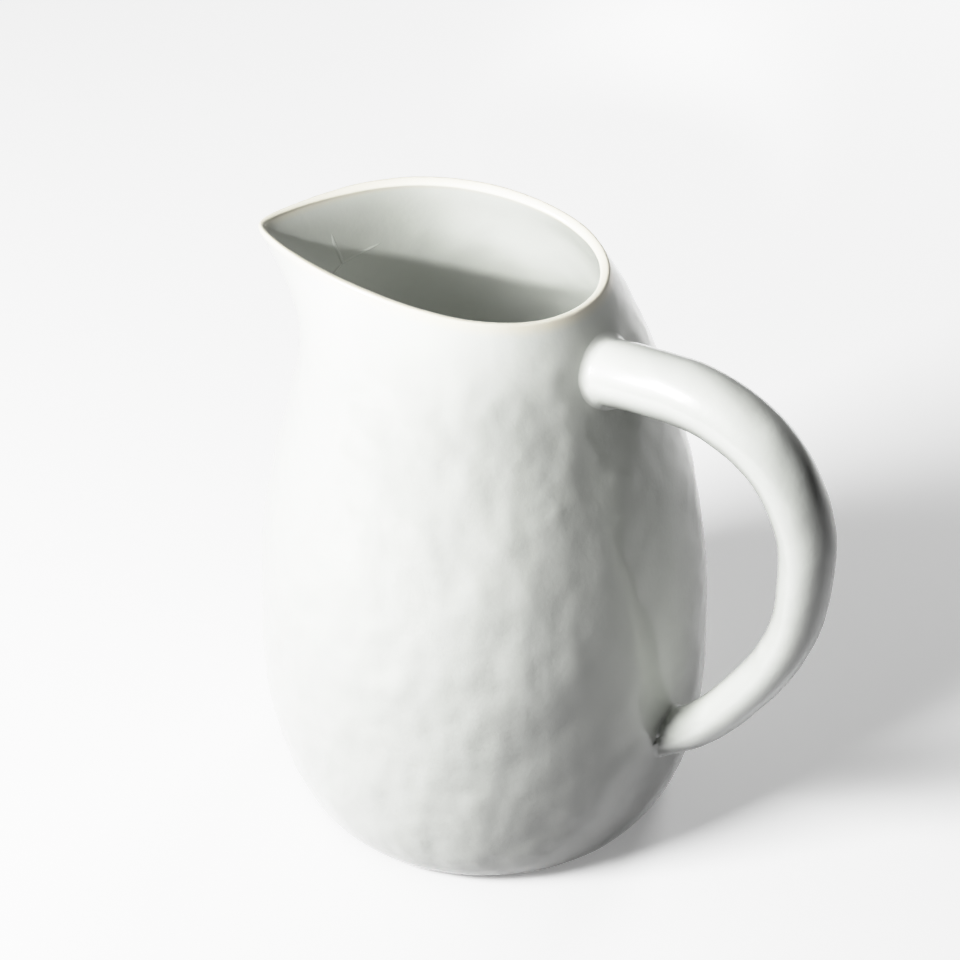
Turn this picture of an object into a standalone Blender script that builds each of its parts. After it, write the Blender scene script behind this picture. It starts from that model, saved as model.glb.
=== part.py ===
"""Hand-built stoneware pitcher, 25 cm tall.

A round floor slab carries a pear-shaped wall.  The neck is oval, and a beak spout closes a
shield-shaped notch in it.  A thick handle loops from the neck to the belly.  Every piece of clay
is its own closed solid, luted to its neighbours with a hairline gap.

World frame: metres, +Z up, origin at the centre of the underside, handle in the plane Y = 0
towards +X.
"""
import math

import bpy
import numpy as np
from mathutils import Vector

# ---------------------------------------------------------------- driving dimensions, in metres
LIP_HEIGHT = 0.240          # height of the lip before it tilts up towards the spout
LIP_TILT = 0.0065           # rise of the lip at the spout, and its drop at the handle
GAP = 0.0003                # hairline between pieces that touch

# Outline of the round part of the pot, seen from the side: (height, radius).
OUTLINE = ((0.000, 0.0690), (0.004, 0.0735), (0.012, 0.0775), (0.028, 0.0815), (0.060, 0.0848),
           (0.096, 0.0840), (0.132, 0.0798), (0.168, 0.0720), (0.200, 0.0625), (0.223, 0.0543),
           (LIP_HEIGHT, 0.0460))

WALL_LOW = 0.0055           # wall thickness above the floor
WALL_LIP = 0.0038           # wall thickness at the lip
SLAB_THICKNESS = 0.007

SPOUT_TURN = math.radians(206)   # direction of the spout, anticlockwise from the handle
NECK_OVAL = (-0.0010, 0.0030)    # first and second harmonic of the neck's radius
NECK_DRAWN_IN = -0.0030          # mean change of radius where the neck turns oval
OVAL_FROM = 0.45                 # share of the height where the oval starts
BEAK_REACH = 0.0315              # how far the beak stands out of the oval at the lip
BEAK_FADE = 0.49                 # angle over which the beak fades to a third, in radians
BEAK_NOSE = 0.07                 # roundness of the beak's nose, in radians
BEAK_DIP = 0.0020            # how far the nose of the beak hangs below the tilted lip
BEAK_FROM = 0.78                 # share of the height where the beak starts
BEAK_CURVE = 1.7                 # how late the beak swings out

# Notch that the spout fills, seen along the spout: (distance from its middle, height).
NOTCH_POINT = (0.0, 0.2040)
NOTCH_CORNER = (0.0205, 0.2140)
NOTCH_TOP = (0.0190, 0.2620)
NOTCH_CENTRE = (0.0, 0.2330)

SEAM_BEAD_HALF_WIDTH = 0.0030    # bead of clay along the notch, inside
SEAM_BEAD_HEIGHT = 0.0016
SEAM_BEAD_RAISED = 0.0005        # clearance under the bead, wide enough for the wall's facets
SEAM_BEAD_ROUNDING = 3           # passes that round the bead's corners
FLOOR_BEAD = 0.009          # reach of the coil pressed into the corner of floor and wall
FLOOR_BEAD_EDGE = 0.0008    # thickness of that coil's upper edge
FLOOR_BEAD_GAP = 0.0006     # its clearance to the wall, wide enough for the wall's facets

# Centre line of the handle: (distance from the axis, height).
HANDLE_LINE = ((0.046, 0.2070), (0.062, 0.2125), (0.090, 0.2155), (0.114, 0.2095),
               (0.131, 0.1930), (0.1380, 0.1680), (0.1365, 0.1420), (0.1285, 0.1150),
               (0.1140, 0.0890), (0.0965, 0.0650), (0.0740, 0.0470))
HANDLE_DEPTH = (0.0115, 0.0112, 0.0098, 0.0082, 0.0084)    # half thickness, root to root
HANDLE_WIDTH = (0.0125, 0.0122, 0.0108, 0.0092, 0.0098)    # half width, root to root
JOINT_FLARE = 0.0038        # how far a joint spreads where it meets the wall
JOINT_EDGE = 0.0008         # thickness of a joint's end on the handle
TOP_JOINT_END = 0.140       # share of the handle's length where the upper joint ends
FOOT_JOINT_START = 0.855    # share of the handle's length where the lower joint starts

# ---------------------------------------------------------------- mesh fineness
RING_POINTS = 64
WALL_RINGS = 20
HANDLE_STEPS = 36
HANDLE_SIDES = 16


def smooth(points, where):
    """Values of a smooth curve through points (x, y), without overshoot, at each x of where."""
    x, y = np.array(points, float).T
    step = np.diff(x)
    slope = np.diff(y) / step
    tangent = np.empty_like(y)
    tangent[0] = slope[0]
    tangent[-1] = slope[-1]
    weight_left = 2 * step[1:] + step[:-1]
    weight_right = step[1:] + 2 * step[:-1]
    same_sign = slope[:-1] * slope[1:] > 0
    safe_left = np.where(same_sign, slope[:-1], 1.0)
    safe_right = np.where(same_sign, slope[1:], 1.0)
    mean = (weight_left + weight_right) / (weight_left / safe_left + weight_right / safe_right)
    tangent[1:-1] = np.where(same_sign, mean, 0.0)
    where = np.clip(np.asarray(where, float), x[0], x[-1])
    cell = np.clip(np.searchsorted(x, where, side="right") - 1, 0, len(x) - 2)
    t = (where - x[cell]) / step[cell]
    start = (1 + 2 * t) * (1 - t) ** 2 * y[cell] + t * (1 - t) ** 2 * step[cell] * tangent[cell]
    end = t * t * (3 - 2 * t) * y[cell + 1] - t * t * (1 - t) * step[cell] * tangent[cell + 1]
    return start + end


def ramp(value, start, end):
    """0 up to start, 1 from end on, and a soft S between them."""
    t = np.clip((value - start) / (end - start), 0.0, 1.0)
    return t * t * (3 - 2 * t)


# ---------------------------------------------------------------- the pot's surface
def from_spout(angle):
    """Angle from the middle of the spout, between -pi and pi."""
    return (angle - SPOUT_TURN + math.pi) % (2 * math.pi) - math.pi


def pot_radius(angle, height):
    """Outer radius of the pot in a direction, at a height before the lip's tilt."""
    share = height / LIP_HEIGHT
    turn = from_spout(angle)
    oval = NECK_DRAWN_IN + NECK_OVAL[0] * np.cos(turn) + NECK_OVAL[1] * np.cos(2 * turn)
    beak = BEAK_REACH * np.exp(-(np.hypot(turn, BEAK_NOSE) - BEAK_NOSE) / BEAK_FADE)
    swing = np.clip((share - BEAK_FROM) / (1 - BEAK_FROM), 0.0, None) ** BEAK_CURVE
    return smooth(OUTLINE, height) + oval * ramp(share, OVAL_FROM, 1.0) + beak * swing


def wall_thickness(height):
    return WALL_LOW + (WALL_LIP - WALL_LOW) * np.clip(height / LIP_HEIGHT, 0.0, 1.0)


def pot_point(angle, height, inset=0.0):
    """A point of the pot's surface, moved inwards by inset."""
    radius = pot_radius(angle, height) - inset
    turn = from_spout(angle)
    tilt = LIP_TILT * math.cos(turn) - BEAK_DIP * math.exp(-(turn / BEAK_FADE) ** 2)
    lift = tilt * ramp(height / LIP_HEIGHT, 0.6, 1.0)
    return (radius * math.cos(angle), radius * math.sin(angle), height + lift)


def ring_angles():
    """Directions round the pot, closer together at the spout."""
    turns = np.arange(RING_POINTS) * 2 * math.pi / RING_POINTS
    return SPOUT_TURN + turns - 0.5 * np.sin(turns)


def pot_ring(height, inset=0.0):
    return [pot_point(angle, height, inset) for angle in ring_angles()]


# ---------------------------------------------------------------- mesh helpers
def clear_scene():
    for thing in list(bpy.data.objects):
        bpy.data.objects.remove(thing, do_unlink=True)


def material(name, colour, roughness):
    finish = bpy.data.materials.new(name)
    finish.use_nodes = True
    shader = finish.node_tree.nodes["Principled BSDF"]
    shader.inputs["Base Color"].default_value = (*colour, 1.0)
    shader.inputs["Roughness"].default_value = roughness
    shader.inputs["Metallic"].default_value = 0.0
    return finish


def add_object(name, points, faces, finish=None):
    mesh = bpy.data.meshes.new(name)
    mesh.from_pydata(points, [], faces)
    mesh.shade_smooth()
    mesh.set_sharp_from_angle(angle=math.radians(40))
    thing = bpy.data.objects.new(name, mesh)
    bpy.context.collection.objects.link(thing)
    if finish:
        mesh.materials.append(finish)
    return thing


def loft(name, rings, finish=None, closed=False):
    """Skin a list of rings of equal length; closed joins the last ring to the first."""
    count = len(rings[0])
    points = [point for ring in rings for point in ring]
    pairs = [(row, row + 1) for row in range(len(rings) - 1)]
    if closed:
        pairs.append((len(rings) - 1, 0))
    faces = []
    for low, high in pairs:
        for column in range(count):
            after = (column + 1) % count
            faces.append((low * count + column, low * count + after,
                          high * count + after, high * count + column))
    if not closed:
        faces.append(tuple(reversed(range(count))))
        faces.append(tuple(range((len(rings) - 1) * count, len(rings) * count)))
    return add_object(name, points, faces, finish)


def make_guide(thing):
    thing.hide_render = True
    thing.display_type = "WIRE"
    return thing


def boolean(thing, operation, cutter):
    step = thing.modifiers.new(operation.lower(), "BOOLEAN")
    step.operation = operation
    step.object = cutter
    step.solver = "EXACT"


# ---------------------------------------------------------------- the pieces of the pot
def base_slab(finish):
    """Round floor slab with a flat underside; its edge is the lowest stretch of the outline."""
    top = SLAB_THICKNESS
    heights = [top * step / 4 for step in range(5)]
    return loft("base_slab", [pot_ring(height) for height in heights], finish)


def ring_heights(bottom):
    """Heights from bottom to the lip, closer together at both ends, where the outline curves."""
    shares = np.linspace(0.0, 1.0, WALL_RINGS + 1)
    return bottom + (LIP_HEIGHT - bottom) * (shares - 0.09 * np.sin(2 * math.pi * shares))


def wall_rings():
    """Rings of the whole wall: up the outside, over the rounded lip, and down the inside."""
    heights = ring_heights(SLAB_THICKNESS + GAP)
    outside = [pot_ring(height) for height in heights]
    lip = []
    for share in (0.25, 0.5, 0.75):
        ring = pot_ring(LIP_HEIGHT, WALL_LIP * share)
        raised = WALL_LIP * 0.5 * math.sin(math.pi * share)
        lip.append([(x, y, z + raised) for x, y, z in ring])
    inside = [pot_ring(height, wall_thickness(height)) for height in reversed(heights)]
    return outside + lip + inside


def notch_wedge(name, shrink):
    """Shield-shaped block along the spout, its sides moved inwards by shrink."""
    keep = 1 - shrink / NOTCH_CORNER[0]
    left = [(-side, height) for side, height in (NOTCH_TOP, NOTCH_CORNER)]
    outline = [NOTCH_POINT, NOTCH_CORNER, NOTCH_TOP] + left
    along = Vector((math.cos(SPOUT_TURN), math.sin(SPOUT_TURN), 0.0))
    across = Vector((-along.y, along.x, 0.0))
    rings = []
    for reach in (0.012, 0.110):
        ring = []
        for side, height in outline:
            raised = NOTCH_CENTRE[1] + (height - NOTCH_CENTRE[1]) * keep
            ring.append(tuple(along * reach + across * side * keep + Vector((0, 0, raised))))
        rings.append(ring)
    return make_guide(loft(name, rings))


def body_wall(finish):
    """The wall from slab to lip, less the notch of the spout."""
    wall = loft("body_wall", wall_rings(), finish, closed=True)
    boolean(wall, "DIFFERENCE", notch_wedge("notch_cutter", 0.0))
    return wall


def spout(finish):
    """The beak that fills the notch."""
    beak = loft("spout", wall_rings(), finish, closed=True)
    boolean(beak, "INTERSECT", notch_wedge("notch_filler", GAP))
    return beak


def pot_block(name, clearance):
    """The pot filled solid and grown by clearance, which trims what is luted onto it."""
    return make_guide(loft(name, [pot_ring(height, -clearance) for height in ring_heights(0.0)]))


def notch_line():
    """Centre line of the bead on the inner wall, lip to lip: (place, direction into the pot)."""
    lip = (NOTCH_TOP[0], LIP_HEIGHT - 0.004)
    half = []
    for start, end in ((NOTCH_POINT, NOTCH_CORNER), (NOTCH_CORNER, lip)):
        for step in range(6):
            share = step / 6
            half.append([start[axis] + (end[axis] - start[axis]) * share for axis in (0, 1)])
    half.append(lip)
    outline = np.array([(-side, height) for side, height in reversed(half[1:])] + half)
    for _ in range(SEAM_BEAD_ROUNDING):
        outline[1:-1] = (outline[:-2] + 2 * outline[1:-1] + outline[2:]) / 4
    line = []
    for side, height in outline:
        inset = float(wall_thickness(height))
        turn = 0.0
        for _ in range(20):
            turn = math.asin(side / (float(pot_radius(SPOUT_TURN + turn, height)) - inset))
        angle = SPOUT_TURN + turn
        place = Vector(pot_point(angle, height, inset))
        round_pot = Vector(pot_point(angle + 0.02, height, inset)) - place
        up_pot = Vector(pot_point(angle, height + 0.001, inset)) - place
        line.append((place, up_pot.cross(round_pot).normalized()))
    return line


def spout_seam_coil(finish):
    """Thin bead of clay that seals the notch on the inside."""
    section = ((-0.6, 0.7), (0.0, 1.0), (0.6, 0.7), (1.0, 0.0), (0.0, 0.0), (-1.0, 0.0))
    line = notch_line()
    rings = []
    for place, (point, inward) in enumerate(line):
        before = line[max(place - 1, 0)][0]
        after = line[min(place + 1, len(line) - 1)][0]
        across = (after - before).cross(inward).normalized()
        ring = []
        for side, height in section:
            raised = SEAM_BEAD_RAISED + SEAM_BEAD_HEIGHT * height
            ring.append(tuple(point + across * SEAM_BEAD_HALF_WIDTH * side + inward * raised))
        rings.append(ring)
    return loft("spout_seam_coil", rings, finish)


def base_seam_coil(finish):
    """Coil pressed into the corner of floor and wall, with a hollow face."""
    bottom = SLAB_THICKNESS + GAP

    def ring(height, reach):
        return pot_ring(height, float(wall_thickness(height)) + FLOOR_BEAD_GAP + reach)
    rings = [ring(bottom + FLOOR_BEAD * step / 5, 0.0) for step in range(6)]
    for step in range(7):
        turn = math.pi / 2 * step / 6
        reach = FLOOR_BEAD_EDGE + FLOOR_BEAD * (1 - math.cos(turn))
        rings.append(ring(bottom + FLOOR_BEAD * (1 - math.sin(turn)), reach))
    return loft("base_seam_coil", rings, finish, closed=True)


# ---------------------------------------------------------------- the handle and its joints
def handle_frame(share):
    """Centre, inward direction and half sizes of the handle at a share of its length."""
    stations = np.linspace(0.0, 1.0, len(HANDLE_LINE))
    sizes = np.linspace(0.0, 1.0, len(HANDLE_DEPTH))
    reach = [point[0] for point in HANDLE_LINE]
    height = [point[1] for point in HANDLE_LINE]
    spot = []
    for nearby in (share, max(share - 0.01, 0.0), min(share + 0.01, 1.0)):
        x = float(smooth(list(zip(stations, reach)), [nearby])[0])
        z = float(smooth(list(zip(stations, height)), [nearby])[0])
        spot.append(Vector((x, 0.0, z)))
    forward = (spot[2] - spot[1]).normalized()
    inward = Vector((0, 1, 0)).cross(forward)
    depth = float(smooth(list(zip(sizes, HANDLE_DEPTH)), [share])[0])
    width = float(smooth(list(zip(sizes, HANDLE_WIDTH)), [share])[0])
    return spot[0], inward, depth, width


def handle_ring(share, growth):
    """Oval section of the handle, grown by growth."""
    centre, inward, depth, width = handle_frame(share)
    ring = []
    for step in range(HANDLE_SIDES):
        turn = 2 * math.pi * step / HANDLE_SIDES
        offset = inward * (depth + growth) * math.cos(turn)
        offset += Vector((0, 1, 0)) * (width + growth) * math.sin(turn)
        ring.append(tuple(centre + offset))
    return ring


def handle_loft(name, start, end, growth, steps, finish=None):
    """Stretch of the handle; growth gives its extra thickness at each share of the length."""
    shares = [start + (end - start) * step / steps for step in range(steps + 1)]
    return loft(name, [handle_ring(share, growth(share)) for share in shares], finish)


def handle(finish, block):
    grip = handle_loft("handle", 0.0, 1.0, lambda share: 0.0, HANDLE_STEPS, finish)
    boolean(grip, "DIFFERENCE", block)
    return grip


def joint(name, root, end, finish, block, core):
    """Flared ring of clay round one root of the handle."""
    def flare(share):
        reached = min(abs(share - root) / abs(end - root), 1.0)
        return JOINT_EDGE + (JOINT_FLARE - JOINT_EDGE) * (1 - reached) ** 2.2
    collar = handle_loft(name, min(root, end), max(root, end), flare, 12, finish)
    boolean(collar, "DIFFERENCE", block)
    boolean(collar, "DIFFERENCE", core)
    return collar


def main():
    clear_scene()
    glazed = material("white_glaze", (0.86, 0.87, 0.84), 0.12)
    bare = material("bare_clay", (0.72, 0.68, 0.60), 0.75)
    base_slab(bare)
    base_seam_coil(glazed)
    body_wall(glazed)
    spout(glazed)
    spout_seam_coil(glazed)
    block = pot_block("pot_trimmer", GAP * 1.3)
    handle(glazed, block)
    core = make_guide(handle_loft("handle_trimmer", 0.0, 1.0, lambda share: GAP, HANDLE_STEPS))
    joint("handle_top_joint", 0.0, TOP_JOINT_END, glazed, block, core)
    joint("handle_foot_joint", 1.0, FOOT_JOINT_START, glazed, block, core)


main()
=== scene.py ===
# %% [markdown]
# # A hand-built white pitcher
# This lesson dresses a CAD pitcher for its picture. The CAD model says where every piece of
# clay is. Here each piece is modelled again with the softness that fingers leave in clay, and
# then glazed. We work in metres: the pot stands on the origin, its handle points along +X,
# and its beak is turned 206 degrees anticlockwise from the handle.

# %% Load the CAD model
import math

import bpy
import numpy as np
from mathutils import Matrix, Vector
from mathutils.bvhtree import BVHTree


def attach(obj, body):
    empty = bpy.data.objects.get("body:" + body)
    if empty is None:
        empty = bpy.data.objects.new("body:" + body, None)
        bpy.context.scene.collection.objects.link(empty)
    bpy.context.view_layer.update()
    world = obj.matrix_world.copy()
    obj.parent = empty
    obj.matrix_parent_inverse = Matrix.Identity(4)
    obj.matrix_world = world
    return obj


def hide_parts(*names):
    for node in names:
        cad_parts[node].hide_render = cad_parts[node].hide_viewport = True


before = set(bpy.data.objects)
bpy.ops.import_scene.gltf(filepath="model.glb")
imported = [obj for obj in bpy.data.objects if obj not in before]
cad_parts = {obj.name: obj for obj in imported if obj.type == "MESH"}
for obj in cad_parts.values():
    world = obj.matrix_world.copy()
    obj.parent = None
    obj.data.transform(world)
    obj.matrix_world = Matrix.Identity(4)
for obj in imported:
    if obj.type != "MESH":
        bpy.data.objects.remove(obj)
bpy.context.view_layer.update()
print("clay pieces:", sorted(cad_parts))

MM = 0.001
SPOUT_TURN = math.radians(206)

# %% [markdown]
# ## Where the camera stands
# The picture is taken from above and from the handle's near side, with a long lens, so the
# mouth shows as a wide oval and the sides hardly taper. We give the camera an azimuth and an
# elevation, a distance from a point in the belly, and a very small roll.

# %% The camera
AIM = Vector((0.0, 0.0, 0.120))
AZIMUTH = math.radians(36.3)
ELEVATION = math.radians(40.2)
ROLL = math.radians(1.4)
DISTANCE = 1.214
LENS = 122.3
SHIFT = (-0.0031, 0.0375)

away = Vector((math.sin(AZIMUTH) * math.cos(ELEVATION),
               -math.cos(AZIMUTH) * math.cos(ELEVATION),
               math.sin(ELEVATION)))
level = Vector((math.cos(AZIMUTH), math.sin(AZIMUTH), 0.0))
upright = away.cross(level)
side = level * math.cos(ROLL) - upright * math.sin(ROLL)
top = level * math.sin(ROLL) + upright * math.cos(ROLL)

bpy.ops.object.camera_add()
camera = bpy.context.object
camera.name = "camera"
place = Matrix((side, top, away)).transposed().to_4x4()
place.translation = AIM + away * DISTANCE
camera.matrix_world = place
camera.data.sensor_width = 36
camera.data.lens = LENS
camera.data.shift_x, camera.data.shift_y = SHIFT
camera.data.clip_start = 0.05
bpy.context.scene.camera = camera
print("camera at", [round(value, 3) for value in camera.location], "m")

# %% [markdown]
# ## Small helpers
# Everything that follows is done with the same few hand movements: pick one object, open it
# in edit mode, move or stretch what is selected, and apply a modifier. An operator works on
# all that is selected, so each helper first lets go of everything.

# %% Pick, edit and apply
def pick(thing):
    """Select one object alone and make it the active one."""
    bpy.ops.object.select_all(action="DESELECT")
    thing.select_set(True)
    bpy.context.view_layer.objects.active = thing


def open_mesh(thing, test=None):
    """Go into edit mode with the vertices selected whose place passes the test."""
    pick(thing)
    bpy.ops.object.mode_set(mode="EDIT")
    bpy.ops.mesh.select_mode(type="VERT")
    bpy.ops.mesh.select_all(action="DESELECT")
    bpy.ops.object.mode_set(mode="OBJECT")
    for vertex in thing.data.vertices:
        vertex.select = test is None or test(vertex.co)
    bpy.ops.object.mode_set(mode="EDIT")


def close_mesh():
    bpy.ops.object.mode_set(mode="OBJECT")


def apply_modifier(thing, kind, **settings):
    """Add a modifier, set it up and apply it at once."""
    pick(thing)
    step = thing.modifiers.new(kind.lower(), kind)
    for name, value in settings.items():
        setattr(step, name, value)
    bpy.ops.object.modifier_apply(modifier=step.name)


def subdivide_smooth(thing, levels):
    apply_modifier(thing, "SUBSURF", levels=levels, render_levels=levels)


def places(thing):
    """All vertices of a mesh as one array of x, y, z."""
    flat = np.empty(len(thing.data.vertices) * 3)
    thing.data.vertices.foreach_get("co", flat)
    return flat.reshape(-1, 3)


def move_to(thing, spots):
    thing.data.vertices.foreach_set("co", np.asarray(spots, float).ravel())
    thing.data.update()


def surface_of(*things):
    """A search tree of the outer skin of some objects, to find the nearest clay."""
    corners = []
    faces = []
    for thing in things:
        first = len(corners)
        corners += [tuple(spot) for spot in places(thing)]
        faces += [[first + index for index in face.vertices] for face in thing.data.polygons]
    return BVHTree.FromPolygons(corners, faces)


def report(thing):
    low, high = places(thing).min(axis=0), places(thing).max(axis=0)
    size = [round(float(value) * 1000, 1) for value in high - low]
    triangles = sum(len(face.vertices) - 2 for face in thing.data.polygons)
    print(f"{thing.name}: {size} mm, {triangles} triangles")


# %% [markdown]
# A potter's profile is a handful of measured points with a flowing line through them. This
# helper draws that line. It never swings past the points, which keeps a belly from waving.

# %% A flowing line through measured points
def flowing(points, where):
    """Values of a smooth line through points (x, y), at each x of where."""
    x, y = np.array(points, float).T
    step = np.diff(x)
    slope = np.diff(y) / step
    tangent = np.concatenate(([slope[0]], np.zeros(len(x) - 2), [slope[-1]]))
    left, right = slope[:-1], slope[1:]
    steady = left * right > 0
    weigh_left = 2 * step[1:] + step[:-1]
    weigh_right = step[1:] + 2 * step[:-1]
    pull = weigh_left / np.where(steady, left, 1) + weigh_right / np.where(steady, right, 1)
    tangent[1:-1] = np.where(steady, (weigh_left + weigh_right) / pull, 0)
    where = np.clip(np.asarray(where, float), x[0], x[-1])
    cell = np.clip(np.searchsorted(x, where, side="right") - 1, 0, len(x) - 2)
    t = (where - x[cell]) / step[cell]
    start = (1 + 2 * t) * (1 - t) ** 2 * y[cell] + t * (1 - t) ** 2 * step[cell] * tangent[cell]
    end = t * t * (3 - 2 * t) * y[cell + 1] - t * t * (1 - t) * step[cell] * tangent[cell + 1]
    return start + end


def ease(value, start, end):
    """0 before start, 1 after end, and a soft S between them."""
    t = np.clip((value - start) / (end - start), 0.0, 1.0)
    return t * t * (3 - 2 * t)


# %% [markdown]
# ## The wall: a sleeve drawn up from the foot
# The real wall is one slab of clay, rolled into a sleeve and swollen from inside. We start
# the same way, with a circle at the foot that is extruded ring by ring and stretched to the
# profile. The rings lie closer at the foot, where the curve is tight, and at the lip. We
# build with the beak along +X, because stretching along an axis is simple, and turn the pot
# to its place at the end.

# %% Profile of the pot: height and radius in millimetres
PROFILE = ((0, 69.0), (4, 73.5), (12, 77.5), (28, 81.5), (60, 84.8), (96, 84.0), (132, 79.8),
           (168, 72.0), (200, 62.5), (223, 54.3), (240, 46.0))
LIP = 240.0
GLAZE_LINE = 2.6
RINGS = (4.2, 6.5, 9.5, 13, 18, 25, 33, 42, 52, 62, 72, 82, 92, 102, 112, 122, 132, 142, 152,
         162, 172, 181, 190, 198, 206, 213, 220, 226, 231, 235, 238, 240)
COLUMNS = 80
LIP_ROUND = 1.5
LIP_DRAWN_IN = 0.982


def pot_radius(height):
    return float(flowing(PROFILE, [height])[0])


bpy.ops.mesh.primitive_circle_add(vertices=COLUMNS, radius=pot_radius(GLAZE_LINE) * MM,
                                  location=(0, 0, GLAZE_LINE * MM))
wall = bpy.context.object
wall.name = "glazed_wall"
bpy.ops.object.transform_apply(location=True)
open_mesh(wall)
height = GLAZE_LINE
for ring in RINGS:
    bpy.ops.mesh.extrude_region_move()
    bpy.ops.transform.translate(value=(0, 0, (ring - height) * MM))
    growth = pot_radius(ring) / pot_radius(height)
    bpy.ops.transform.resize(value=(growth, growth, 1), center_override=(0, 0, ring * MM))
    height = ring
# one more ring, drawn in a little, starts the round of the lip
bpy.ops.mesh.extrude_region_move()
bpy.ops.transform.translate(value=(0, 0, LIP_ROUND * MM))
bpy.ops.transform.resize(value=(LIP_DRAWN_IN, LIP_DRAWN_IN, 1), center_override=(0, 0, LIP * MM))
close_mesh()
report(wall)

# %% [markdown]
# The floor closes the sleeve. The foot's edge is filled with one face and inset three times,
# so that the glaze can later follow the floor in rings, as a finger does.

# %% Close the floor
FLOOR_INSETS = (6, 14, 26)

open_mesh(wall, lambda spot: spot.z < (GLAZE_LINE + 0.5) * MM)
bpy.ops.mesh.edge_face_add()
for width in FLOOR_INSETS:
    bpy.ops.mesh.inset(thickness=width * MM)
bpy.ops.mesh.select_all(action="SELECT")
bpy.ops.mesh.normals_make_consistent(inside=False)
close_mesh()
outward = sum(1 for face in wall.data.polygons if face.normal.dot(face.center - AIM) > 0)
print(f"{outward} of {len(wall.data.polygons)} faces point outwards")

# %% [markdown]
# ## The neck and the beak
# The upper half of the pot is squeezed into an oval that is longer along the beak, and the
# lip is tilted a little up towards the beak. Each ring is stretched and turned on its own,
# a bit more than the ring below it.

# %% Squeeze and tilt the neck
SQUEEZE = 6.0
OVAL_FROM = 0.45
TILT_FROM = 0.60

for ring in RINGS + (LIP + LIP_ROUND,):
    share = ring / LIP
    if share <= OVAL_FROM:
        continue
    narrow = 1 - SQUEEZE * float(ease(share, OVAL_FROM, 1)) / pot_radius(ring)
    open_mesh(wall, lambda spot: abs(spot.z - ring * MM) < 0.1 * MM)
    bpy.ops.transform.resize(value=(1, narrow, 1), center_override=(0, 0, ring * MM))
    close_mesh()
print("neck squeezed by", 2 * SQUEEZE, "mm at the lip")

# %% [markdown]
# The beak is pinched out of the lip between two fingers. A proportional drag would round its
# nose too much, so we write the pull ourselves: strongest at the lip and at the nose, and
# fading round the neck and down it. The columns of the sleeve also crowd towards the beak,
# which gives the nose the vertices that it needs.

# %% Pinch the beak
BEAK_REACH = 33.0
BEAK_FADE = 0.49
BEAK_NOSE = 0.05
BEAK_DIP = 2.0
BEAK_FROM = 0.78
BEAK_GROWTH = 1.7
CROWDING = 0.5
LIP_TILT = 6.5


def pinch(spots):
    """Moves points of the sleeve, in metres, as the fingers do that make the beak."""
    x, y, z = spots.T / MM
    share = z / LIP
    turn = np.arctan2(y, x)
    crowded = turn - CROWDING * np.sin(turn)
    along = flowing(PROFILE, z)
    across = along - SQUEEZE * ease(share, OVAL_FROM, 1)

    def oval(direction):
        return along * across / np.hypot(across * np.cos(direction), along * np.sin(direction))
    reach = np.hypot(x, y) / oval(turn)
    fade = np.exp(-(np.hypot(crowded, BEAK_NOSE) - BEAK_NOSE) / BEAK_FADE)
    swing = np.clip((share - BEAK_FROM) / (1 - BEAK_FROM), 0, 1) ** BEAK_GROWTH
    shift = -np.cos(crowded) * ease(share, OVAL_FROM, 1)
    radius = oval(crowded) * reach + shift + BEAK_REACH * fade * swing
    lift = LIP_TILT * np.cos(crowded) - BEAK_DIP * np.exp(-(crowded / BEAK_FADE) ** 2)
    rise = lift * ease(share, TILT_FROM, 1)
    return np.stack((radius * np.cos(crowded), radius * np.sin(crowded), z + rise)).T * MM


move_to(wall, pinch(places(wall)))
wall.rotation_euler = (0, 0, SPOUT_TURN)
pick(wall)
bpy.ops.object.transform_apply(rotation=True)
clay = surface_of(*[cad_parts[name] for name in ("body_wall", "spout", "base_slab")])
gaps = [clay.find_nearest(Vector(spot))[3] for spot in places(wall) if spot[2] > 10 * MM]
print("distance to the CAD wall in mm: mean", round(float(np.mean(gaps)) * 1000, 2),
      "largest", round(max(gaps) * 1000, 2))
report(wall)

# %% [markdown]
# ## Give the sleeve its thickness
# Thrown or pinched walls get thinner towards the lip. A vertex group tells Solidify how much
# of the full thickness each ring gets. The inside gets a group of its own, because fingers
# mark it less than the outside.

# %% Thickness
THICK_LOW = 5.5
THICK_LIP = 3.8
NOSE_THINNED = 0.5
NOSE_WIDTH = 0.40
NOSE_FROM = 0.75

thickness = wall.vertex_groups.new(name="thickness")
wall.vertex_groups.new(name="inside")
for vertex in wall.data.vertices:
    share = min(vertex.co.z / (LIP * MM), 1)
    turn = math.atan2(vertex.co.y, vertex.co.x) - SPOUT_TURN
    turn = (turn + math.pi) % (2 * math.pi) - math.pi
    nose = math.exp(-(turn / NOSE_WIDTH) ** 2) * float(ease(share, NOSE_FROM, 1))
    weight = (1 + (THICK_LIP / THICK_LOW - 1) * share) * (1 - NOSE_THINNED * nose)
    thickness.add([vertex.index], weight, "REPLACE")
apply_modifier(wall, "SOLIDIFY", thickness=THICK_LOW * MM, offset=-1, use_even_offset=True,
               vertex_group="thickness", shell_vertex_group="inside")
subdivide_smooth(wall, 2)
report(wall)

# %% [markdown]
# ## Finger marks
# Nothing shows that a pot is made by hand as well as the shallow dimples of the fingers that
# pressed the wall. Displace modifiers make them as real shape: broad ones from the thumb,
# smaller ones from the fingertips, and a fine grain from the clay. The clouds are stretched
# along a slanting frame, because the fingers walked up the wall at an angle. A vertex group
# keeps the lip, the foot and the inside calmer.

# %% A way to press dimples into a piece
bpy.ops.object.empty_add()
stroke = bpy.context.object
stroke.name = "stroke_frame"


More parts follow.
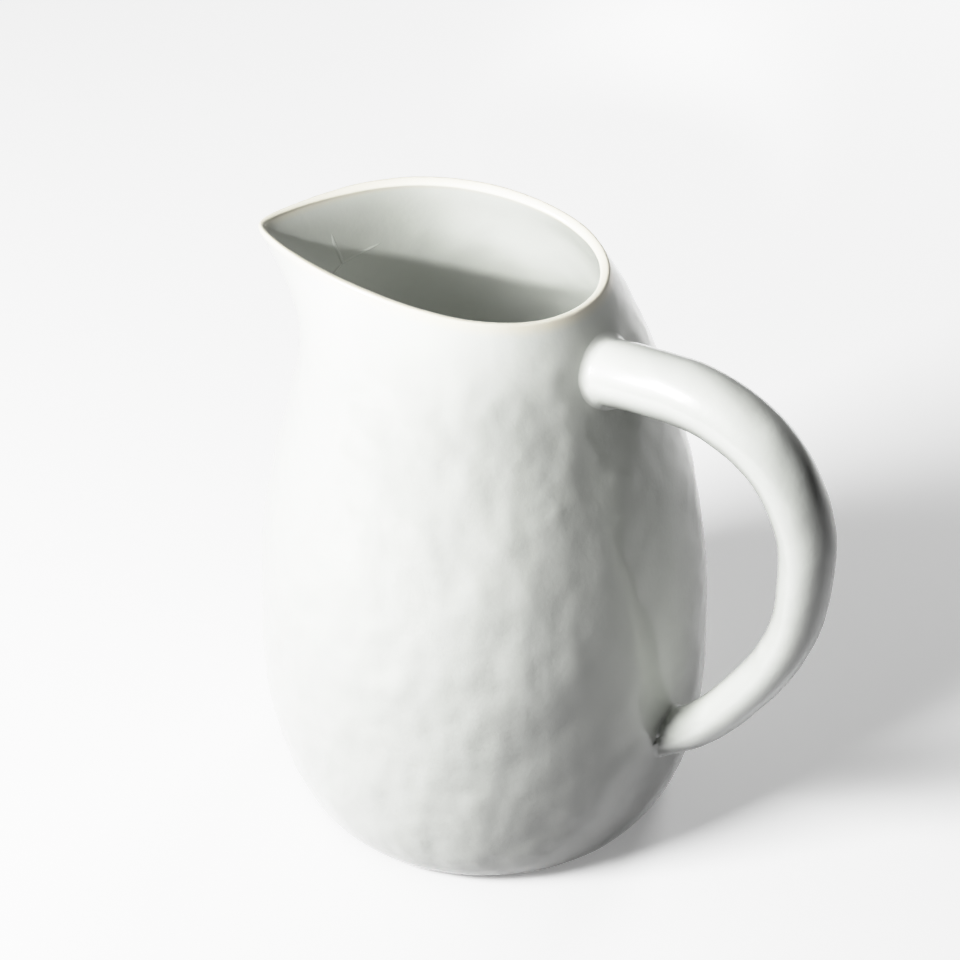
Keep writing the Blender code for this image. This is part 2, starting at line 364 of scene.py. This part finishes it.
def press(thing, size, depth, stretch=1.5, slant=35, group="worked", middle=0.5):
    """Displace a piece with clouds of a size and a depth in millimetres."""
    clouds = bpy.data.textures.new(f"dimples_{size}", "CLOUDS")
    clouds.noise_basis = "ORIGINAL_PERLIN"
    clouds.noise_scale = size * MM
    clouds.noise_depth = 1
    stroke.rotation_euler = (math.radians(slant), 0, AZIMUTH)
    stroke.scale = (1, 1, stretch)
    bpy.context.view_layer.update()
    apply_modifier(thing, "DISPLACE", texture=clouds, texture_coords="OBJECT",
                   texture_coords_object=stroke, strength=depth * MM, mid_level=middle,
                   vertex_group=group)


def add_weights(thing, name, weights):
    """A vertex group with its own weight for every vertex."""
    group = thing.vertex_groups.new(name=name)
    for index, weight in enumerate(weights):
        group.add([index], float(weight), "REPLACE")


# %% Press the wall
def inside_share(thing):
    """How much of each vertex belongs to the inner wall, 0 to 1."""
    inner = thing.vertex_groups["inside"].index
    shares = np.zeros(len(thing.data.vertices))
    for vertex in thing.data.vertices:
        for entry in vertex.groups:
            if entry.group == inner:
                shares[vertex.index] = entry.weight
    return shares


heights = places(wall)[:, 2] / MM
inner = inside_share(wall)
calm_lip = 1 - 0.75 * ease(heights, 205, 236)
calm_foot = 0.35 + 0.65 * ease(heights, 4, 22)
add_weights(wall, "worked", np.clip(calm_lip * calm_foot * (1 - 0.6 * inner), 0, 1))
press(wall, 34, 2.2)
press(wall, 13, 1.5)
press(wall, 6, 0.45)
report(wall)

# %% [markdown]
# The glaze runs thin on the lip, and the cream clay shows through. The material can't know
# where the lip is, so the mesh tells it, with an attribute that is 1 on the rim and fades to
# 0 a few millimetres down.

# %% Mark the lip
RIM_WIDTH = 5.0
SECTORS = 120


def mark_lip(thing):
    spots = places(thing)
    turn = np.arctan2(spots[:, 1], spots[:, 0])
    sector = np.floor((turn + math.pi) / (2 * math.pi) * SECTORS).astype(int) % SECTORS
    rim = np.array([spots[sector == number, 2].max() for number in range(SECTORS)])
    depth = (rim[sector] - spots[:, 2]) / MM
    values = 1 - ease(depth, 0.4, RIM_WIDTH)
    thing.data.attributes.new("lip", "FLOAT", "POINT")
    thing.data.attributes["lip"].data.foreach_set("value", values.astype(np.float32))
    return int((values > 0.5).sum())


print(mark_lip(wall), "vertices lie on the lip")
bpy.ops.object.shade_smooth()

# %% [markdown]
# ## The foot
# The kiln shelf would stick to a glazed foot, so the last few millimetres of clay stay bare.
# A disc with a rounded lower edge is enough, but it gets its own grain, because bare clay is
# rougher than glaze.

# %% The bare foot
FOOT_RADIUS = 67.6
FOOT_FLARE = 1.045
FOOT_INSETS = (0.5, 4, 12, 20, 24)

bpy.ops.mesh.primitive_circle_add(vertices=128, radius=FOOT_RADIUS * MM, fill_type="NGON")
foot = bpy.context.object
foot.name = "bare_foot"
open_mesh(foot)
bpy.ops.mesh.extrude_region_move()
bpy.ops.transform.translate(value=(0, 0, GLAZE_LINE * MM))
bpy.ops.transform.resize(value=(FOOT_FLARE, FOOT_FLARE, 1), center_override=(0, 0, 0))
close_mesh()
for level in (GLAZE_LINE, 0):
    open_mesh(foot, lambda spot: abs(spot.z - level * MM) < 0.01 * MM)
    for width in FOOT_INSETS:
        bpy.ops.mesh.inset(thickness=width * MM)
    close_mesh()
open_mesh(foot)
bpy.ops.mesh.normals_make_consistent(inside=False)
close_mesh()
subdivide_smooth(foot, 1)
add_weights(foot, "worked", places(foot)[:, 2] / (GLAZE_LINE * MM))
press(foot, 9, 0.5)
press(foot, 2, 0.12)
bpy.ops.object.shade_smooth()
report(foot)

# %% [markdown]
# ## The handle
# A thick roll of clay, rolled a little flat, is bent into a loop and pushed into the wall at
# both ends. We draw its section once, as an oval with a soft ridge along each side, and
# extrude it from station to station along the loop. Each section is turned with the bend,
# and stretched to the thickness that the roll has there.

# %% Line and thickness of the handle in millimetres
HANDLE_LINE = ((46, 207.3), (62, 213.2), (90, 216.3), (114, 210.0), (131, 193.2), (138, 168.0),
               (136.5, 142.0), (128.5, 115.0), (114, 89.0), (96.5, 65.0), (74, 47.0))
HANDLE_DEPTH = (12.2, 12.0, 10.3, 8.5, 8.7)
HANDLE_WIDTH = (13.0, 12.8, 11.2, 9.5, 10.0)
STATIONS = 34


def handle_station(share):
    """Centre, angle of the section and half sizes of the handle at a share of its length."""
    knots = np.linspace(0, 1, len(HANDLE_LINE))
    sizes = np.linspace(0, 1, len(HANDLE_DEPTH))
    near = [share, max(share - 0.01, 0), min(share + 0.01, 1)]
    x = flowing([(k, spot[0]) for k, spot in zip(knots, HANDLE_LINE)], near)
    z = flowing([(k, spot[1]) for k, spot in zip(knots, HANDLE_LINE)], near)
    lean = math.atan2(z[2] - z[1], x[2] - x[1])
    depth = float(flowing(list(zip(sizes, HANDLE_DEPTH)), [share])[0])
    width = float(flowing(list(zip(sizes, HANDLE_WIDTH)), [share])[0])
    return Vector((x[0], 0, z[0])) * MM, lean, depth, width


# %% Roll it out and bend it
SECTION_POINTS = 20
RIDGE = 0.03

centre, lean, depth, width = handle_station(0)
bpy.ops.mesh.primitive_circle_add(vertices=SECTION_POINTS, radius=MM, fill_type="NGON")
handle = bpy.context.object
handle.name = "glazed_handle"
spots = places(handle)
turn = np.arctan2(spots[:, 1], spots[:, 0])
pinched = 1 - RIDGE * np.abs(np.sin(2 * turn)) ** 1.5
spots[:, :2] *= pinched[:, None]
move_to(handle, np.stack((spots[:, 2], spots[:, 1] * width, -spots[:, 0] * depth)).T)
open_mesh(handle)
bpy.ops.transform.rotate(value=lean, orient_axis="Y", center_override=(0, 0, 0))
bpy.ops.transform.translate(value=centre)
for step in range(1, STATIONS + 1):
    before, lean_before, depth_before, width_before = centre, lean, depth, width
    centre, lean, depth, width = handle_station(step / STATIONS)
    bpy.ops.mesh.extrude_region_move()
    bpy.ops.transform.translate(value=centre - before)
    bpy.ops.transform.rotate(value=lean - lean_before, orient_axis="Y", center_override=centre)
    grow = depth / depth_before
    widen = width / width_before
    bpy.ops.transform.resize(value=(grow, widen, grow), center_override=centre)
bpy.ops.mesh.select_all(action="SELECT")
bpy.ops.mesh.normals_make_consistent(inside=False)
close_mesh()
report(handle)

# %% [markdown]
# Subdivision rounds the loop, and a little pressing takes away the machine look. The ends
# run into the wall, so the joint has no gap, and stop before they could show inside the pot.

# %% Finish the handle
subdivide_smooth(handle, 2)
add_weights(handle, "worked", np.ones(len(handle.data.vertices)))
press(handle, 22, 1.0, stretch=1.0)
press(handle, 8, 0.28, stretch=1.0)
bpy.ops.object.shade_smooth()
report(handle)

# %% [markdown]
# ## Where the handle meets the wall
# The potter presses a thin roll of slip-wet clay into the corner and smooths it with a
# finger. On the top side the finger draws it out, and under the handle it can only make a
# tight crease. A torus has just the right faces for such a roll. Every one of its slices is
# then laid into the corner: from a point on the handle, round a hollow curve, to a point on
# the wall, with the rest of the slice hidden in the clay.

# %% Find the corner of handle and wall
wall_skin = surface_of(wall)
handle_skin = surface_of(handle)
SLICES = 72
HOLLOW = 10


def above_wall(spot):
    """Distance of a point outside the wall, in metres, and the wall's outward direction."""
    nearest, normal, _, distance = wall_skin.find_nearest(spot)
    side_of_wall = 1 if (spot - nearest).dot(normal) > 0 else -1
    return distance * side_of_wall, nearest, normal


def handle_skin_point(share, turn):
    centre, lean, depth, width = handle_station(share)
    outward = Vector((-math.sin(lean), 0, math.cos(lean)))
    reach = outward * depth * math.cos(turn) + Vector((0, 1, 0)) * width * math.sin(turn)
    guess = centre + reach * MM
    nearest = handle_skin.find_nearest(guess)[0]
    return nearest, centre


def corner(turn, start, end, reach):
    """Walk along the handle towards the wall: spot on the handle, corner, spot on the wall."""
    def leave_at(limit):
        outer, inner = start, end
        for _ in range(12):
            share = (outer + inner) / 2
            spot, centre = handle_skin_point(share, turn)
            if above_wall(spot)[0] > limit:
                outer = share
            else:
                inner = share
        return spot, centre
    leave = leave_at(reach)[0]
    spot, centre = leave_at(0)
    _, nearest, normal = above_wall(spot)
    outward = spot - centre
    outward -= normal * outward.dot(normal)
    landing = nearest + outward.normalized() * reach
    landing, landing_normal, _, _ = wall_skin.find_nearest(landing)
    return leave, nearest, centre, normal, landing, landing_normal


# %% Lay the rolls into the corners
EMBED = 0.12
BURIED = 1.5


def lay_roll(name, start, end, reach_over, reach_under, turn_over):
    """A roll of clay round one root of the handle; its reach differs over and under it."""
    bpy.ops.mesh.primitive_torus_add(major_segments=SLICES, minor_segments=HOLLOW + 2,
                                     major_radius=12 * MM, minor_radius=2 * MM)
    roll = bpy.context.object
    roll.name = name
    spots = []
    for number in range(SLICES):
        turn = 2 * math.pi * number / SLICES
        over = 0.5 + 0.5 * math.cos(turn - turn_over)
        reach = (reach_under + (reach_over - reach_under) * over) * MM
        leave, root, centre, normal, landing, landing_normal = corner(turn, start, end, reach)
        into_handle = (centre - leave).normalized() * EMBED * MM
        into_wall = -landing_normal * EMBED * MM
        for step in range(HOLLOW + 1):
            t = step / HOLLOW
            sink = into_handle * max(1 - 4 * t, 0) + into_wall * max(4 * t - 3, 0)
            spots.append(leave * (1 - t) ** 2 + root * 2 * t * (1 - t) + landing * t ** 2 + sink)
        spots.append(root + ((centre - root).normalized() - normal) * BURIED * MM)
    move_to(roll, spots)
    open_mesh(roll)
    bpy.ops.mesh.normals_make_consistent(inside=False)
    close_mesh()
    bpy.ops.object.shade_smooth()
    report(roll)
    return roll


top_roll = lay_roll("handle_top_roll", start=0.22, end=0.0, reach_over=3.6, reach_under=1.8,
                    turn_over=0.0)
low_roll = lay_roll("handle_foot_roll", start=0.80, end=1.0, reach_over=2.2, reach_under=1.2,
                    turn_over=math.pi)

# %% [markdown]
# ## The seam of the beak
# Inside the neck a thin ridge shows where the beak was luted into the wall. We lay a round
# curve on the inner wall: for each point of the seam a ray goes from the middle of the pot
# towards the beak, and where it meets the wall, there the seam lies.

# %% The seam inside
along = Vector((math.cos(SPOUT_TURN), math.sin(SPOUT_TURN), 0))
across = Vector((-along.y, along.x, 0))
SEAM_LOW = ((0, 204), (7, 206.2), (14, 209.6), (22.3, 214.6))
SEAM_SIDE = ((22.3, 214.6), (21.4, 218), (20.2, 222.5), (19.1, 227), (18.9, 232))
SEAM_SMEAR = ((22.3, 214.6), (25.5, 214.7), (29, 215.0), (33, 215.6), (36, 216.4))
SEAM_RADIUS = 0.9
SEAM_ARMS = ((SEAM_LOW, 0.22, 1.0), (SEAM_SIDE, 0.42, 0.15), (SEAM_SMEAR, 0.34, 0.15))


def inner_wall(aside, height):
    start = across * aside * MM + Vector((0, 0, height * MM)) + along * 5 * MM
    spot, normal, _, _ = wall_skin.ray_cast(start, along)
    return spot, normal


def lay_seam(name, line, proud, last):
    """A thin rope through points (aside, height) of the inner wall, and mostly sunk in it.

    The rope ends with a share of its thickness, given by last, so that an arm can fade away.
    """
    bpy.ops.curve.primitive_nurbs_path_add()
    rope = bpy.context.object
    rope.name = name
    rope.data.splines.clear()
    spline = rope.data.splines.new("NURBS")
    spline.points.add(len(line) - 1)
    for point, (aside, height) in zip(spline.points, line):
        spot, normal = inner_wall(aside, height)
        point.co = (*(spot + normal * (proud - SEAM_RADIUS) * MM), 1)
    spline.use_endpoint_u = True
    spline.order_u = 3
    spline.points[-1].radius = last
    rope.data.dimensions = "3D"
    rope.data.resolution_u = 6
    rope.data.bevel_depth = SEAM_RADIUS * MM
    rope.data.bevel_resolution = 3
    rope.data.use_fill_caps = True
    pick(rope)
    bpy.ops.object.convert(target="MESH")
    bpy.ops.object.shade_smooth()
    report(rope)
    return rope


strands = []
for hand in (-1, 1):
    for line, proud, last in SEAM_ARMS:
        strands.append(lay_seam("beak_seam", [(hand * x, z) for x, z in line], proud, last))
seam = strands[0]
pick(seam)
for strand in strands:
    strand.select_set(True)
bpy.ops.object.join()
report(seam)

# %% [markdown]
# ## Wires for the materials
# Shader maths reads best as plain arithmetic. This small class holds one output of a node.
# Adding or multiplying wires adds the Math nodes, and every other node comes from `node`.

# %% One class for shader arithmetic
class Wire:
    """One output socket of a material; arithmetic on it adds Math nodes."""

    def __init__(self, tree, socket=None):
        self.tree = tree
        self.socket = socket

    def node(self, kind, output, inputs=None, stops=None, **settings):
        """Add a node: first its settings and ramp stops, then its inputs, by name or number."""
        new = self.tree.nodes.new(kind)
        for name, value in settings.items():
            setattr(new, name, value)
        if stops:
            while len(new.color_ramp.elements) < len(stops):
                new.color_ramp.elements.new(0.5)
            for element, (position, value) in zip(new.color_ramp.elements, stops):
                element.position = position
                element.color = (value, value, value, 1)
        for name, value in (inputs or {}).items():
            if isinstance(value, Wire):
                self.tree.links.new(value.socket, new.inputs[name])
            else:
                new.inputs[name].default_value = value
        return Wire(self.tree, new.outputs[output])

    def maths(self, operation, first, second):
        return self.node("ShaderNodeMath", 0, {0: first, 1: second}, operation=operation)

    def __add__(self, other):
        return self.maths("ADD", self, other)

    def __radd__(self, other):
        return self.maths("ADD", other, self)

    def __sub__(self, other):
        return self.maths("SUBTRACT", self, other)

    def __rsub__(self, other):
        return self.maths("SUBTRACT", other, self)

    def __mul__(self, other):
        return self.maths("MULTIPLY", self, other)

    def __rmul__(self, other):
        return self.maths("MULTIPLY", other, self)

    def noise(self, place, scale, detail=2.0, roughness=0.5):
        """Clouds between 0 and 1; scale is in clouds per metre."""
        return self.node("ShaderNodeTexNoise", 0, {"Vector": place, "Scale": scale,
                                                   "Detail": detail, "Roughness": roughness})

    def blend(self, share, first, second):
        """Mix two colours; 0 gives the first and 1 the second."""
        return self.node("ShaderNodeMix", 2, {0: share, 6: first, 7: second}, data_type="RGBA")


def new_material(name):
    """An empty material, a wire to build it with, and its object coordinates."""
    finish = bpy.data.materials.new(name)
    finish.use_nodes = True
    finish.node_tree.nodes.clear()
    wire = Wire(finish.node_tree)
    return finish, wire, wire.node("ShaderNodeTexCoord", 3)


def finish_material(wire, **sockets):
    """The shader at the end, with its sockets named with underscores for spaces."""
    named = {name.replace("_", " "): value for name, value in sockets.items()}
    shader = wire.node("ShaderNodeBsdfPrincipled", 0, named)
    end = wire.tree.nodes.new("ShaderNodeOutputMaterial")
    wire.tree.links.new(shader.socket, end.inputs["Surface"])


def dress(thing, finish, slot, *nodes):
    """Give a piece its material, hang it on the pot's one body, and hide the CAD clay that it
    replaces.
    """
    thing.data.materials.clear()
    thing.data.materials.append(finish)
    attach(thing, "root")
    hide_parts(*nodes)


# %% [markdown]
# ## White glaze
# The glaze is a coat of glass over white clay. Its white is a little green where it lies
# thick, and cream on the lip. Under the coat the colour drifts in slow clouds. The coat
# itself is glossy, and the fine bumps break its reflections up.

# %% White glaze
glaze, wire, place = new_material("white_glaze")
drift = wire.noise(place, 22, 3)
mottle = wire.noise(place, 160, 4, 0.6)
thin = wire.node("ShaderNodeAttribute", "Fac", attribute_name="lip")
thick_white = wire.blend(drift, (0.80, 0.82, 0.78, 1), (0.87, 0.88, 0.83, 1))
white = wire.blend(mottle * 0.35, thick_white, (0.77, 0.80, 0.76, 1))
colour = wire.blend(thin * (0.65 + 0.35 * mottle), white, (0.93, 0.88, 0.74, 1))
fine = wire.noise(place, 420, 3) * 0.7 + wire.noise(place, 1500, 2) * 0.12
relief = wire.node("ShaderNodeBump", "Normal", {"Height": fine, "Strength": 0.25,
                                                "Distance": 0.4 * MM})
finish_material(wire, Base_Color=colour, Roughness=0.28 + 0.14 * drift, Normal=relief,
                IOR=1.5, Coat_Weight=1.0, Coat_Roughness=0.12, Coat_IOR=1.5)
print("white_glaze has", len(glaze.node_tree.nodes), "nodes")

# %% [markdown]
# ## Bare clay
# The foot is buff stoneware with grains of sand: darker specks in a warm grey, no shine, and
# a coarse bump.

# %% Bare clay
bare, wire, place = new_material("bare_clay")
sand = wire.noise(place, 900, 4, 0.7)
tone = wire.noise(place, 45, 3)
specks = wire.node("ShaderNodeValToRGB", 0, {"Fac": wire.noise(place, 1300, 1)},
                   stops=((0.60, 0.0), (0.68, 1.0)))
buff = wire.blend(tone, (0.66, 0.61, 0.52, 1), (0.76, 0.72, 0.64, 1))
colour = wire.blend(specks * 0.6, buff, (0.36, 0.30, 0.24, 1))
relief = wire.node("ShaderNodeBump", "Normal", {"Height": sand, "Strength": 0.6,
                                                "Distance": 0.5 * MM})
finish_material(wire, Base_Color=colour, Roughness=0.78 + 0.15 * sand, Normal=relief)
print("bare_clay has", len(bare.node_tree.nodes), "nodes")

# %% [markdown]
# ## Each piece gets its finish
# Every new piece rides on the pot's one body, and takes the place of the clay that it shows.

# %% Dress the pieces
dress(wall, glaze, "white_glaze", "body_wall", "spout", "base_seam_coil")
dress(foot, bare, "bare_clay", "base_slab")
dress(handle, glaze, "white_glaze", "handle")
dress(top_roll, glaze, "white_glaze", "handle_top_joint")
dress(low_roll, glaze, "white_glaze", "handle_foot_joint")
dress(seam, glaze, "white_glaze", "spout_seam_coil")

# %% [markdown]
# ## Table and light
# The pitcher stands on a pale table. A white table throws so much light back that the shaded
# side would vanish, so this one is hidden from diffuse rays and glows a little instead.

# %% Pale floor
bpy.ops.mesh.primitive_plane_add(size=8)
floor = bpy.context.object
floor.name = "floor"
paper, wire, place = new_material("pale_floor")
grain = wire.noise(place, 260, 3)
tint = wire.blend(grain, (0.95, 0.95, 0.95, 1), (0.98, 0.98, 0.98, 1))
finish_material(wire, Base_Color=tint, Roughness=0.9, Emission_Color=(1, 1, 1, 1),
                Emission_Strength=0.25)
floor.data.materials.append(paper)
floor.visible_diffuse = False

# %% [markdown]
# One soft light on the left bleaches that side, and a weaker one behind on the right lifts
# the shade. Neither reaches the inside, so a photographer's snoot, a spot with a narrow and
# soft beam, shines over the near lip onto the far wall of the mouth. The second and third
# light don't show in the glaze.

# %% Soft lights
def direction_of(azimuth, elevation):
    """Unit vector towards a light; azimuth is clockwise from the camera's side."""
    turn = AZIMUTH + math.radians(azimuth)
    flat = math.cos(math.radians(elevation))
    return Vector((math.sin(turn) * flat, -math.cos(turn) * flat,
                   math.sin(math.radians(elevation))))


def soft_light(name, azimuth, elevation, distance, width, height, power):
    """An area light aimed at the belly."""
    direction = direction_of(azimuth, elevation)
    bpy.ops.object.light_add(type="AREA", location=AIM + direction * distance)
    light = bpy.context.object
    light.name = name
    light.rotation_euler = direction.to_track_quat("Z", "Y").to_euler()
    light.data.shape = "RECTANGLE"
    light.data.size = width
    light.data.size_y = height
    light.data.energy = power
    return light


soft_light("key_light", -63, 36, 1.3, 0.45, 0.45, 32)
back = soft_light("back_light", 150, 20, 1.2, 0.4, 0.4, 7)
back.visible_glossy = False

BEAM_HEIGHT = 250
BEAM_PAST_AXIS = 30
BEAM_WIDTH = math.radians(5.4)

far_lip = direction_of(180, 0) * BEAM_PAST_AXIS * MM + Vector((0, 0, BEAM_HEIGHT * MM))
towards = direction_of(-12, 28)
bpy.ops.object.light_add(type="SPOT", location=far_lip + towards)
snoot = bpy.context.object
snoot.name = "mouth_light"
snoot.rotation_euler = towards.to_track_quat("Z", "Y").to_euler()
snoot.data.spot_size = BEAM_WIDTH
snoot.data.spot_blend = 0.6
snoot.data.shadow_soft_size = 0.05
snoot.data.energy = 75
snoot.visible_glossy = False

world = bpy.data.worlds.new("studio")
bpy.context.scene.world = world
world.use_nodes = True
sky = world.node_tree.nodes["Background"]
sky.inputs["Color"].default_value = (0.97, 0.99, 1.0, 1)
sky.inputs["Strength"].default_value = 0.02

# %% [markdown]
# White clay in strong light would burn out. A film doesn't clip: it follows the light up to
# the middle tones and then bends over. A tone curve does the same here, so that the bleached
# side of the pot still shows its round form.

# %% Tone curve
BRIGHTEST = 2.5
BEND = 0.5

view = bpy.context.scene.view_settings
view.view_transform = "Standard"
view.use_curve_mapping = True
view.curve_mapping.white_level = (BRIGHTEST, BRIGHTEST, BRIGHTEST)
tone = view.curve_mapping.curves[3]
tone.points[0].location = (0, 0)
tone.points[1].location = (1, 1 - BEND * math.exp((BEND - BRIGHTEST) / BEND))
for light_in in (0.25, 0.5, 0.75, 1.0, 1.5, 2.0):
    film = 1 - BEND * math.exp((BEND - light_in) / BEND)
    tone.points.new(light_in / BRIGHTEST, light_in if light_in <= BEND else film)
view.curve_mapping.update()

# %% [markdown]
# ## Tidying up
# The frame that slanted the finger marks is taken away.

# %% Remove the stroke frame
bpy.data.objects.remove(stroke, do_unlink=True)
bpy.context.view_layer.update()
